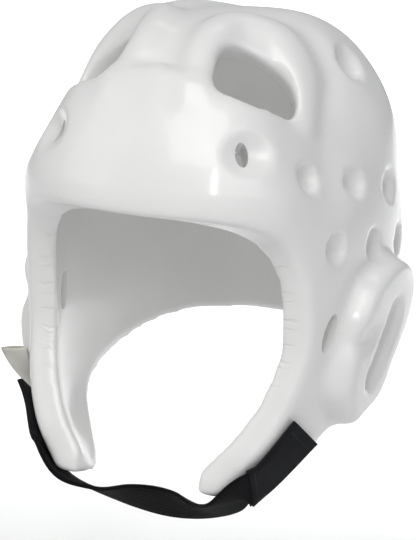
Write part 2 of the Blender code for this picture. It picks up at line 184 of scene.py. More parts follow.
def ring_on(frame: Matrix, width: float, height: float, stand: float, sides: int, slant: float = 0.0) -> list[Vector]:
    """Ring of points on an ellipse.

    Args:
        frame: Frame in whose plane the ellipse lies.
        width: Full size along the frame's X.
        height: Full size along the frame's Y.
        stand: Distance off the plane.
        sides: Number of points.
        slant: Turn about the frame's Z, in degrees.

    Returns:
        The points.
    """
    turned = frame @ Matrix.Rotation(math.radians(slant), 4, "Z")
    angles = [2.0 * math.pi * index / sides for index in range(sides)]
    return [turned @ Vector((0.5 * width * math.cos(a), 0.5 * height * math.sin(a), stand)) for a in angles]


def add_object(name: str, data: bpy.types.ID) -> Thing:
    """New object with some data, linked to the scene."""
    thing = bpy.data.objects.new(name, data)
    bpy.context.scene.collection.objects.link(thing)
    return thing


def make_object(name: str, bm: bmesh.types.BMesh) -> Thing:
    """Turn a bmesh into an object whose faces point outwards.

    Args:
        name: Name of the object.
        bm: Mesh, which is freed.

    Returns:
        The object, linked to the scene.
    """
    bmesh.ops.recalc_face_normals(bm, faces=bm.faces)
    mesh = bpy.data.meshes.new(name)
    bm.to_mesh(mesh)
    bm.free()
    return add_object(name, mesh)


def closed_body(name: str, rings: list[list[Vector]], spots: list[list[Pair]] | None = None) -> Thing:
    """Closed body through rings of points, shaded smooth where it has UV.

    Args:
        name: Name of the object.
        rings: Rings in order from one end to the other.
        spots: UV of each point of each ring in metres, if the body has UV.

    Returns:
        The object.
    """
    bm = bmesh.new()
    made = join_rings(bm, rings)
    if spots:
        layer = bm.loops.layers.uv.new("UVMap")
        places = {vert: spot for verts, row in zip(made, spots) for vert, spot in zip(verts, row)}
        for face in bm.faces:
            for loop in face.loops:
                loop[layer].uv = places[loop.vert]
    thing = make_object(name, bm)
    if spots:
        thing.data.shade_smooth()
    return thing


def mesh_points(mesh: bpy.types.Mesh) -> Array:
    """Points of a mesh, one a row."""
    points = np.empty(len(mesh.vertices) * 3)
    mesh.vertices.foreach_get("co", points)
    return points.reshape(-1, 3)


def apply_modifiers(thing: Thing) -> None:
    """Keep the mesh that the modifiers give and remove them.

    Args:
        thing: Object whose modifiers are applied.
    """
    depsgraph = bpy.context.evaluated_depsgraph_get()
    mesh = bpy.data.meshes.new_from_object(thing.evaluated_get(depsgraph))
    old = thing.data
    thing.modifiers.clear()
    thing.data = mesh
    mesh.name = thing.name
    bpy.data.meshes.remove(old)


def drop_object(thing: Thing) -> None:
    """Remove an object and its mesh."""
    mesh = thing.data
    bpy.data.objects.remove(thing)
    bpy.data.meshes.remove(mesh)


def cut_away(target: Thing, cutters: list[Thing]) -> None:
    """Cut several closed shapes out of a target and remove them.

    Args:
        target: Object that is cut.
        cutters: Closed shapes.
    """
    for cutter in cutters:
        modifier = target.modifiers.new(cutter.name, "BOOLEAN")
        modifier.operation = "DIFFERENCE"
        modifier.solver = "MANIFOLD"
        modifier.object = cutter
    apply_modifiers(target)
    for cutter in cutters:
        drop_object(cutter)


@dataclass(frozen=True)
class GuardForm:
    """Outer form of the guard under its raised parts.

    Lengths are in metres. A turn is in degrees from the front towards one side, and a drop is a share of
    the height below the crown.
    """

    height: float = 0.264
    half_width: float = 0.101
    front_reach: float = 0.112
    back_reach: float = 0.124
    wall: float = 0.018
    columns: tuple[str, ...] = ("drop", "width", "front", "back", "square")
    sections: tuple[tuple[float, ...], ...] = (
        (0.000, 0.000, 0.000, 0.000, 2.1),
        (0.011, 0.250, 0.255, 0.225, 2.1),
        (0.042, 0.455, 0.430, 0.475, 2.1),
        (0.095, 0.615, 0.565, 0.710, 2.2),
        (0.167, 0.750, 0.695, 0.870, 2.3),
        (0.250, 0.868, 0.810, 0.955, 2.4),
        (0.348, 0.955, 0.905, 0.995, 2.4),
        (0.455, 0.995, 0.965, 1.000, 2.4),
        (0.568, 0.985, 1.000, 0.976, 2.5),
        (0.682, 0.958, 1.030, 0.935, 2.6),
        (0.788, 0.922, 1.075, 0.879, 2.6),
        (0.879, 0.864, 1.115, 0.806, 2.4),
        (0.955, 0.765, 1.140, 0.726, 2.1),
        (1.030, 0.640, 1.120, 0.645, 2.0),
        (1.106, 0.425, 0.890, 0.484, 2.0),
        (1.136, 0.000, 0.000, 0.000, 2.0),
    )
    point_size: float = 1e-5
    small_level: float = 0.02

    @property
    def rows(self) -> int:
        """Number of stretches between the sections."""
        return len(self.sections) - 1

    def column(self, name: str, level: Array) -> Array:
        """Smooth value of one section column.

        Args:
            name: Name of the column.
            level: Levels counted in rows from the crown.

        Returns:
            Values at those levels.
        """
        values = np.array([row[self.columns.index(name)] for row in self.sections])
        ahead, behind = values[1], values[-2]
        if name == "drop":
            behind = 2.0 * values[-1] - behind
        elif name != "square":
            ahead, behind = -ahead, -behind
        table = np.concatenate(([ahead], values, [behind]))
        row = np.clip(level.astype(int), 0, self.rows - 1)
        return curve_value(table[row], table[row + 1], table[row + 2], table[row + 3], level - row)

    def points(self, turn: Array, level: Array) -> Array:
        """Points of the form.

        Args:
            turn: Turns in degrees.
            level: Levels in rows.

        Returns:
            Points, one a row.
        """
        angle = np.radians(turn)
        sine, cosine = np.sin(angle), np.cos(angle)
        width = np.maximum(self.column("width", level) * self.half_width, self.point_size)
        front = self.column("front", level) * self.front_reach
        back = self.column("back", level) * self.back_reach
        reach = np.maximum(np.where(cosine > 0.0, front, back), self.point_size)
        square = self.column("square", level)
        radius = (np.abs(sine / width) ** square + np.abs(cosine / reach) ** square) ** (-1.0 / square)
        z = self.wall - self.column("drop", level) * self.height
        return np.stack((radius * sine, -radius * cosine, z), axis=-1)

    def normals(self, turn: Array, level: Array) -> Array:
        """Outward directions of the form.

        Args:
            turn: Turns in degrees.
            level: Levels in rows.

        Returns:
            Unit vectors, one a row.
        """
        step = self.small_level
        level = np.clip(level, 2.0 * step, self.rows - 2.0 * step)
        along = self.points(turn + 1.0, level) - self.points(turn - 1.0, level)
        down = self.points(turn, level + step) - self.points(turn, level - step)
        out = np.cross(down, along)
        return out / np.linalg.norm(out, axis=-1, keepdims=True)

    def level_at(self, drop: float) -> float:
        """Level at which the form has dropped by a share of its height."""
        levels = np.linspace(0.0, self.rows, 200 * self.rows)
        return float(np.interp(drop, self.column("drop", levels), levels))

    def point(self, turn: float, drop: float, stand: float = 0.0) -> Vector:
        """Point over the form.

        Args:
            turn: Turn in degrees.
            drop: Share of the height below the crown.
            stand: Distance outwards.

        Returns:
            The point.
        """
        level = np.array([self.level_at(drop)])
        place = self.points(np.array([turn]), level) + self.normals(np.array([turn]), level) * stand
        return Vector(place[0])

    def normal(self, turn: float, drop: float) -> Vector:
        """Outward direction at a turn and a drop."""
        return Vector(self.normals(np.array([turn]), np.array([self.level_at(drop)]))[0])

    def frame(self, turn: float, drop: float, side: float) -> Matrix:
        """Frame on the skin: X runs backwards round the guard, Y up and Z outwards.

        Args:
            turn: Turn in degrees.
            drop: Share of the height below the crown.
            side: 1 on the left, -1 mirrored to the right.

        Returns:
            The frame as a matrix.
        """
        out = self.normal(turn, drop)
        along = self.point(turn + 1.0, drop) - self.point(turn - 1.0, drop)
        along = (along - out * along.dot(out)).normalized()
        up = out.cross(along)
        if up.z < 0.0:
            up.negate()
        place = Matrix((along, up, out)).transposed().to_4x4()
        place.translation = self.point(turn, drop)
        return Matrix.Diagonal((side, 1.0, 1.0, 1.0)) @ place


@dataclass(frozen=True)
class Hollow:
    """Round hollow or hole on both sides. Soft runs from 0 for a crisp edge to 1 for a gentle one."""

    turn: float
    drop: float
    width: float
    height: float
    depth: float = 0.0
    soft: float = 0.15


def outline_distance(outline: Outline, x: Array, y: Array) -> Array:
    """Distance from a smooth closed outline, below zero inside it.

    Args:
        outline: Points of the outline in order.
        x: First coordinates.
        y: Second coordinates.

    Returns:
        Distances, one for each pair of coordinates.
    """
    corners = [Vector((*spot, 0.0)) for spot in outline]
    count = len(corners)
    curve = []
    for index in range(count):
        near = [corners[(index + step) % count] for step in (-1, 0, 1, 2)]
        curve += [curve_value(*near, step / 6) for step in range(6)]
    away = np.full(len(x), 1.0)
    inside = np.zeros(len(x), dtype=bool)
    for start, end in zip(curve, curve[1:] + curve[:1]):
        dx, dy = end.x - start.x, end.y - start.y
        share = np.clip(((x - start.x) * dx + (y - start.y) * dy) / (dx * dx + dy * dy), 0.0, 1.0)
        away = np.minimum(away, np.hypot(x - start.x - share * dx, y - start.y - share * dy))
        if dy != 0.0:
            crossed = (start.y > y) != (end.y > y)
            inside ^= crossed & (x < start.x + (y - start.y) * dx / dy)
    return np.where(inside, -away, away)


@dataclass(frozen=True)
class EarCup:
    """Raised cup round the ear with a long recess in its face.

    The outlines are in metres in the frame of the cup's centre: the first number runs backwards round the
    guard and the second upwards.
    """

    turn: float = 93.8
    drop: float = 0.695
    stand: float = 0.0148
    reach: float = 0.075
    rim: Outline = (
        (-0.0180, 0.0400), (0.0060, 0.0455), (0.0250, 0.0380), (0.0315, 0.0245), (0.0270, 0.0100),
        (0.0175, -0.0020), (0.0080, -0.0130), (0.0015, -0.0230), (-0.0050, -0.0330), (-0.0123, -0.0405),
        (-0.0220, -0.0430), (-0.0350, -0.0350), (-0.0425, -0.0200), (-0.0410, -0.0030), (-0.0345, 0.0180),
        (-0.0275, 0.0310),
    )
    recess: Outline = (
        (0.0070, 0.0235), (0.0000, 0.0235), (-0.0070, 0.0150), (-0.0130, 0.0040), (-0.0200, -0.0050),
        (-0.0248, -0.0125), (-0.0240, -0.0185), (-0.0190, -0.0195), (-0.0125, -0.0145), (-0.0055, -0.0065),
        (0.0025, 0.0030), (0.0088, 0.0145),
    )
    recess_depth: float = 0.0066
    recess_run: float = 0.0046
    run: float = 0.0080
    front_run: float = 0.0050
    rounding: float = 0.0035
    channel_depth: float = 0.0042
    channel_up: float = 0.0110
    channel_width: float = 0.0075
    channel_fade: Pair = (0.010, 0.030)
    front_fade: Pair = (0.010, 0.040)
    front_up: float = -0.012
    front_spread: float = 0.020
    wall_steepness: float = 4.6

    def relief(self, across: Array, up: Array) -> Array:
        """Height of the cup over the form.

        Args:
            across: Distances backwards round the guard.
            up: Distances upwards.

        Returns:
            Heights in metres.
        """
        away = outline_distance(self.rim, across, up)
        front = smooth_step(-across, *self.front_fade) * hump(up - self.front_up, self.front_spread)
        run = self.run + self.front_run * front
        middle, spread = 0.5 * (run - self.rounding), (run + self.rounding) / self.wall_steepness
        wall = 0.5 - 0.5 * np.tanh((away - middle) / spread)
        bowl = 1.0 - smooth_step(outline_distance(self.recess, across, up), -self.recess_run, self.recess_run)
        channel = hump(up - self.channel_up, self.channel_width) * smooth_step(-across, *self.channel_fade)
        return self.stand * wall - self.recess_depth * bowl - self.channel_depth * channel * wall


@dataclass(frozen=True)
class ForeheadPad:
    """Thick band over the brow that fades out behind the temples."""

    thickness: float = 0.009
    top: Outline = ((0.0, 0.090), (25.0, 0.106), (43.0, 0.134), (60.0, 0.174), (74.0, 0.205))
    bottom: float = 0.385
    half_turn: float = 74.0
    taper_turn: float = 30.0
    lip: float = 0.0075
    lower_fade: float = 0.020

    def relief(self, turn: Array, drop: Array, height: float) -> Array:
        """Height of the pad over the form.

        Args:
            turn: Turns in degrees.
            drop: Shares of the height below the crown.
            height: Height of the guard.

        Returns:
            Heights in metres.
        """
        away = np.abs(turn)
        edge = np.interp(away, [row[0] for row in self.top], [row[1] for row in self.top])
        below = (drop - edge) * height
        above = (self.bottom - drop) * height
        rise = np.sqrt(1.0 - (1.0 - np.clip(below / self.lip + 0.5, 0.0, 1.0)) ** 2)
        fade = smooth_step(above, -self.lower_fade, self.lower_fade)
        ends = smooth_step(self.half_turn - away, 0.0, self.taper_turn)
        return self.thickness * rise * fade * ends


@dataclass
class GuardSkin:
    """The whole dipped foam body as one continuous skin."""

    form: GuardForm
    pad: ForeheadPad = field(default_factory=ForeheadPad)
    ear: EarCup = field(default_factory=EarCup)
    sides: int = 320
    steps_per_row: int = 18
    inner_sides: int = 96
    inner_steps_per_row: int = 5
    voxel: float = 0.0020
    chin_gap: float = 0.075
    chin_gap_top: float = 0.86
    edge_margin: float = 1.45
    cutter_reach: float = 0.06
    arch_height: float = 0.0082
    arch_low_height: float = 0.0052
    arch_width: float = 0.0118
    arch_power: float = 2.6
    arch_fall: Pair = (0.55, 0.85)
    arch_on_pad: float = 0.25
    groove_depth: float = 0.0017
    groove_away: float = 0.0215
    groove_width: float = 0.0070
    groove_end: Pair = (0.13, 0.20)
    groove_side: Pair = (0.040, 0.058)
    pad_edge: float = 0.006
    scoop_edge: float = 0.005
    swell_fade: Pair = (0.35, 1.25)
    hollow_fade: Pair = (0.10, 1.20)
    cup_at_rim: float = 0.45
    cup_fade: Pair = (-0.002, 0.009)
    shoulder: Hollow = Hollow(120.0, 0.140, 0.084, 0.122, 0.0088)
    temple: Hollow = Hollow(65.0, 0.235, 0.074, 0.084, 0.0058)
    scoop: Hollow = Hollow(48.0, 0.110, 0.060, 0.046, 0.0055)
    funnel: Hollow = Hollow(38.4, 0.237, 0.0270, 0.0240, 0.0066, 0.80)
    funnel_hole: Hollow = Hollow(36.5, 0.236, 0.0076, 0.0142)
    ear_hole: Hollow = Hollow(66.0, 0.634, 0.0108, 0.0225)
    ear_hole_slant: float = -24.0
    dimple_width: float = 0.0185
    dimple_depth: float = 0.0066
    valley_dimple: Hollow = Hollow(112.0, 0.126, 0.022, 0.022, 0.0066)
    smooth_in: float = 0.5
    smooth_out: float = -0.52
    flare: float = 0.030
    punch_reach: float = 0.045
    punch_sides: int = 40
    crisp_angle: float = 55.0
    ridge_height: float = 0.0011
    ridge_width: float = 0.012
    ridge_end: Pair = (0.10, 0.34)
    ridge_start: Pair = (-0.02, 0.03)
    even_rounds: int = 16
    edge_rounds: int = 18
    edge_reach: Pair = (0.0015, 0.0085)
    window_reach: float = 0.03
    dimple_rows: tuple[tuple[float, float, int, float, float], ...] = (
        (61.0, 24.0, 5, 0.292, 0.042),
        (69.0, 23.5, 5, 0.450, 0.030),
    )
    face_edge: Outline = (
        (-1.150, 0.355), (-0.970, 0.357), (-0.860, 0.364), (-0.750, 0.384), (-0.645, 0.420), (-0.575, 0.475),
        (-0.535, 0.550), (-0.522, 0.625), (-0.542, 0.680), (-0.600, 0.738), (-0.660, 0.788), (-0.730, 0.838),
        (-0.785, 0.875), (-0.815, 0.905), (-0.845, 0.930), (-0.865, 0.947),
    )
    neck_edge: Outline = (
        (1.000, 0.770), (0.720, 0.780), (0.400, 0.800), (0.120, 0.825), (-0.130, 0.852), (-0.270, 0.893),
        (-0.370, 0.935), (-0.470, 0.975), (-0.620, 0.988), (-0.900, 0.962),
    )
    window: Outline = (
        (26.0, 0.124), (44.0, 0.152), (61.5, 0.174), (66.0, 0.142), (65.0, 0.100), (56.0, 0.064), (43.0, 0.042),
        (30.0, 0.055),
    )
    arch_crest: Outline = (
        (20.0, 0.130), (20.0, 0.075), (26.0, 0.032), (50.0, 0.014), (77.0, 0.030), (79.0, 0.066), (75.0, 0.122),
        (68.0, 0.180),
    )

    def dimples(self) -> list[Hollow]:
        """Places of the dimples of one side, in rows that run on round the back."""
        width, depth = self.dimple_width, self.dimple_depth
        places = [
            Hollow(first_turn + index * pitch, first_drop + index * step, width, width, depth)
            for first_turn, pitch, count, first_drop, step in self.dimple_rows
            for index in range(count)
        ]
        return places + [self.valley_dimple]

    def local(self, spot: Hollow | EarCup, side: float, points: Array) -> Array:
        """Points in the frame of a place on the skin.

        Args:
            spot: Hollow or cup at the place.
            side: 1 on the left, -1 on the right.
            points: Points in the shared frame.

        Returns:
            Three rows, the distances along the frame's X, Y and Z.
        """
        inverse = np.array(self.form.frame(spot.turn, spot.drop, side).inverted())
        return (points @ inverse[:3, :3].T + inverse[:3, 3]).T

    def relief(self, turn: Array, drop: Array, points: Array) -> Array:
        """Height of every raised part, dimple and hollow over the form.

        Args:
            turn: Turns in degrees.
            drop: Shares of the height below the crown.
            points: Points of the form.

        Returns:
            Heights in metres.
        """
        form = self.form
        arch, scoop, swell, cup, dents = np.zeros((5, len(points)))
        beside = np.full(len(points), 1.0)
        for side in SIDES:
            path = smooth_path([form.point(*place) for place in self.arch_crest], 8)
            crest = np.array([(side * point.x, point.y, point.z) for point in path])
            heights = np.linspace(0.0, 1.0, len(crest))
            fall = smooth_step(heights, *self.arch_fall)
            heights = self.arch_height + (self.arch_low_height - self.arch_height) * fall
            for first, second, start, end in zip(crest, crest[1:], heights, heights[1:]):
                way = second - first
                share = np.clip((points - first) @ way / (way @ way), 0.0, 1.0)
                near = np.linalg.norm(points - first - share[:, None] * way, axis=1)
                height = start + (end - start) * share
                arch = np.maximum(arch, height * hump(near, self.arch_width, self.arch_power))
                beside = np.minimum(beside, near)
            for hollow, total, sign in (
                (self.scoop, scoop, 1.0), (self.shoulder, swell, 1.0), (self.temple, swell, -1.0)
            ):
                x, y, z = self.local(hollow, side, points)
                size = (2.0 * x / hollow.width) ** 2 + (2.0 * y / hollow.height) ** 2 + (z / hollow.width) ** 2
                total += sign * hollow.depth * (1.0 - smooth_step(np.sqrt(size), *self.swell_fade))
            x, y, z = self.local(self.ear, side, points)
            near_cup = (np.abs(z) < 0.5 * self.ear.reach) & (np.hypot(x, y) < self.ear.reach)
            cup[near_cup] = self.ear.relief(x[near_cup], y[near_cup])
            for hollow in [self.funnel, *self.dimples()]:
                x, y, z = self.local(hollow, side, points)
                size = np.sqrt((2.0 * x / hollow.width) ** 2 + (2.0 * y / hollow.height) ** 2)
                here = np.abs(z) < hollow.width
                bowl = np.sqrt(np.clip(1.0 - size**2, 0.0, 1.0))
                gentle = 1.0 - smooth_step(size, *self.hollow_fade)
                dent = (1.0 - hollow.soft) * bowl + hollow.soft * gentle
                dents -= np.where(here, hollow.depth * dent, 0.0)
        rim_line = self.edge_line(self.neck_edge, 10)[::-1]
        rim_z = np.interp(points[:, 1], [spot.y for spot in rim_line], [spot.z for spot in rim_line])
        cup *= self.cup_at_rim + (1.0 - self.cup_at_rim) * smooth_step(points[:, 2] - rim_z, *self.cup_fade)
        groove = self.groove_depth * hump(beside - self.groove_away, self.groove_width)
        groove *= 1.0 - smooth_step(drop, *self.groove_end)
        groove *= smooth_step(np.abs(points[:, 0]), *self.groove_side)
        band = self.pad.relief(turn, drop, form.height)
        ridge = self.ridge_height * hump(points[:, 0], self.ridge_width)
        ridge *= (1.0 - smooth_step(drop, *self.ridge_end)) * smooth_step(-points[:, 1], *self.ridge_start)
        swell -= groove * (1.0 - smooth_step(band, 0.0, self.pad_edge))
        raised = np.maximum(band, arch) + self.arch_on_pad * np.minimum(band, arch)
        return raised - scoop * (1.0 - smooth_step(raised, 0.0, self.scoop_edge)) + swell + cup + dents + ridge

    def form_object(self, name: str, sides: int, steps: int, grow: float, raised: bool) -> Thing:
        """Sphere drawn out to the form.

        Args:
            name: Name of the object.
            sides: Points round each level.
            steps: Levels for each section row.
            grow: Distance that the form is moved outwards.
            raised: Whether the raised parts and hollows are added.

        Returns:
            The closed form as an object.
        """
        form = self.form
        bm = bmesh.new()
        bmesh.ops.create_uvsphere(bm, u_segments=sides, v_segments=form.rows * steps, radius=1.0)
        ball = np.array([vert.co for vert in bm.verts])
        level = np.arccos(np.clip(ball[:, 2], -1.0, 1.0)) / math.pi * form.rows
        turn = np.degrees(np.arctan2(ball[:, 0], -ball[:, 1]))
        points = form.points(turn, level)
        normals = form.normals(turn, level)
        top = level < 1e-3
        normals[top] = (0.0, 0.0, 1.0)
        heights = np.full(len(points), grow)
        if raised:
            heights += self.relief(turn, form.column("drop", level), points)
        moved = points + normals * heights[:, None]
        for vert, place in zip(bm.verts, moved):
            vert.co = place
        return make_object(name, bm)

    def edge_point(self, reach: float, drop: float) -> Vector:
        """Point of an edge seen from the side, in the middle plane."""
        size = self.form.front_reach if reach < 0.0 else self.form.back_reach
        return Vector((0.0, reach * size, self.form.wall - drop * self.form.height))

    def edge_line(self, edge: Outline, steps: int) -> list[Vector]:
        """Smooth line of an edge seen from the side."""
        return smooth_path([self.edge_point(*row) for row in edge], steps)

    def prism(self, name: str, edge: Outline, corners: list[Pair]) -> Thing:
        """Prism right across the guard behind an edge.

        Args:
            name: Name of the object.
            edge: Edge seen from the side.
            corners: Points that close the outline.

        Returns:
            The prism as an object.
        """
        outline = self.edge_line(edge, 8) + [self.edge_point(*row) for row in corners]
        shift = Vector((self.form.half_width * self.edge_margin, 0.0, 0.0))
        return closed_body(name, [[point + shift * side for point in outline] for side in (-1.0, 1.0)])

    def cutters(self) -> list[Thing]:
        """Shapes that open the face, the neck, the chin and the vents."""
        form, margin = self.form, self.edge_margin
        tip, first, last = self.face_edge[-1], self.neck_edge[0], self.neck_edge[-1]
        face = self.prism("face_cut", self.face_edge, [
            (tip[0], margin), (-margin, margin), (-margin, self.face_edge[0][1])])
        neck = self.prism("neck_cut", self.neck_edge, [
            (-margin, last[1]), (-margin, margin), (margin, margin), (margin, first[1])])
        top = form.wall - self.chin_gap_top * form.height
        depth = margin * form.front_reach
        bottom = form.wall - margin * form.height
        bm = bmesh.new()
        place = Matrix.Translation((0.0, -depth, 0.5 * (top + bottom)))
        size = Matrix.Diagonal((self.chin_gap, 2.0 * depth, top - bottom, 1.0))
        bmesh.ops.create_cube(bm, size=1.0, matrix=place @ size)
        shapes = [make_object("chin_cut", bm), face, neck]
        for side in SIDES:
            mirror = Matrix.Diagonal((side, 1.0, 1.0, 1.0))
            out = form.normal(self.scoop.turn, self.scoop.drop)
            outline = [form.point(*spot) for spot in self.window]
            ring = outline[:2] + smooth_path(outline[2:] + outline[:1], 5)[:-1]
            rings = []
            for move, back in ((-self.cutter_reach, self.flare), (0.0, 0.0), (self.cutter_reach, 0.0)):
                shifts = [Vector((0.0, 0.0 if index < 2 else back, 0.0)) for index in range(len(ring))]
                rings.append([mirror @ (point + out * move + shift) for point, shift in zip(ring, shifts)])
            shapes.append(closed_body("window_cut", rings))
        return shapes

    def punches(self) -> list[Thing]:
        """Shapes that punch the funnel holes and the ear holes with crisp edges."""
        shapes = []
        for side in SIDES:
            for spot, slant in ((self.funnel_hole, 0.0), (self.ear_hole, self.ear_hole_slant)):
                place = self.form.frame(spot.turn, spot.drop, side)
                shapes.append(closed_body("hole_cut", [
                    ring_on(place, spot.width, spot.height, move, self.punch_sides, slant)
                    for move in (-self.punch_reach, self.punch_reach)]))
        return shapes

    def edge_softness(self, points: Array) -> Array:
        """How near each point lies to a cut edge, from 0 far off to 1 on it.

        Args:
            points: Points of the skin.

        Returns:
            Softness of each point.
        """
        near = np.full(len(points), 1.0)
        for edge in (self.face_edge, self.neck_edge):
            for spot in self.edge_line(edge, 10):
                near = np.minimum(near, np.hypot(points[:, 1] - spot.y, points[:, 2] - spot.z))
        for side in SIDES:
            outline = [self.form.point(*spot) for spot in self.window]
            outline = smooth_path(outline + outline[:1], 10)
            out = self.form.normal(self.scoop.turn, self.scoop.drop)
            for spot in outline:
                centre = np.array((side * spot.x, spot.y, spot.z))
                way = np.array((side * out.x, out.y, out.z))
                gap = points - centre
                flat = gap - np.outer(gap @ way, way)
                reach = np.where(np.abs(gap @ way) < self.window_reach, np.linalg.norm(flat, axis=1), 1.0)
                near = np.minimum(near, reach)
        chin = np.abs(np.abs(points[:, 0]) - 0.5 * self.chin_gap)
        chin = np.where(points[:, 2] < self.form.wall - self.chin_gap_top * self.form.height, chin, 1.0)
        return 1.0 - smooth_step(np.minimum(near, chin), *self.edge_reach)

    def soften(self, thing: Thing) -> None:
        """Smooth the whole skin in turns that shrink and swell it, then round its cut edges.

        Args:
            thing: Skin object.
        """
        mesh = thing.data
        points = mesh_points(mesh)
        count = len(points)
        pairs = np.empty(len(mesh.edges) * 2, dtype=np.int64)
        mesh.edges.foreach_get("vertices", pairs)
        pairs = pairs.reshape(-1, 2)
        links = np.bincount(pairs.ravel(), minlength=count).astype(float)
        softness = self.edge_softness(points)
        for turn in range(self.even_rounds + self.edge_rounds):
            total = np.zeros_like(points)
            for axis in range(3):
                total[:, axis] = np.bincount(pairs[:, 0], points[pairs[:, 1], axis], count)
                total[:, axis] += np.bincount(pairs[:, 1], points[pairs[:, 0], axis], count)
            middle = total / links[:, None]
            if turn < self.even_rounds:
                share = self.smooth_in if turn % 2 == 0 else self.smooth_out
            else:
                share = self.smooth_in * softness[:, None]
            points += (middle - points) * share
        mesh.vertices.foreach_set("co", points.ravel())
        mesh.update()

    def mark_edge(self, thing: Thing) -> None:
        """Store how near each point lies to the face opening's edge, how far along it and how deep in the wall.

        Args:
            thing: Skin object.
        """
        mesh = thing.data
        points = mesh_points(mesh)
        line = self.edge_line(self.face_edge, 12)
        near = np.full(len(points), 1.0)
        along = np.zeros(len(points))
        way = 0.0
        for index, spot in enumerate(line):
            way += (spot - line[index - 1]).length if index else 0.0
            gap = np.hypot(points[:, 1] - spot.y, points[:, 2] - spot.z)
            closer = gap < near
            near[closer] = gap[closer]
            along[closer] = way
        levels = np.linspace(0.0, self.form.rows, 60 * self.form.rows)
        heights = self.form.wall - self.form.column("drop", levels) * self.form.height
        level = np.interp(-points[:, 2], -heights, levels)
        turn = np.degrees(np.arctan2(points[:, 0], -points[:, 1]))
        shell = self.form.points(turn, level)
        deep = np.hypot(shell[:, 0], shell[:, 1]) - np.hypot(points[:, 0], points[:, 1])
        for name, values in (("edge_near", near), ("edge_along", along), ("edge_deep", deep)):
            layer = mesh.attributes.new(name, "FLOAT", "POINT")
            layer.data.foreach_set("value", values)

    def build(self) -> Thing:
        """Build the skin.

        Returns:
            The finished object, still without a material.
        """
        skin = self.form_object("guard_skin", self.sides, self.steps_per_row, 0.0, True)
        hollow = self.form_object("inner_cut", self.inner_sides, self.inner_steps_per_row, -self.form.wall, False)
        cut_away(skin, [hollow, *self.cutters()])
        remesh = skin.modifiers.new("even", "REMESH")
        remesh.mode = "VOXEL"
        remesh.voxel_size = self.voxel
        apply_modifiers(skin)
        self.soften(skin)
        cut_away(skin, self.punches())
        self.mark_edge(skin)
        skin.data.shade_smooth()
        skin.data.set_sharp_from_angle(angle=math.radians(self.crisp_angle))
        return skin


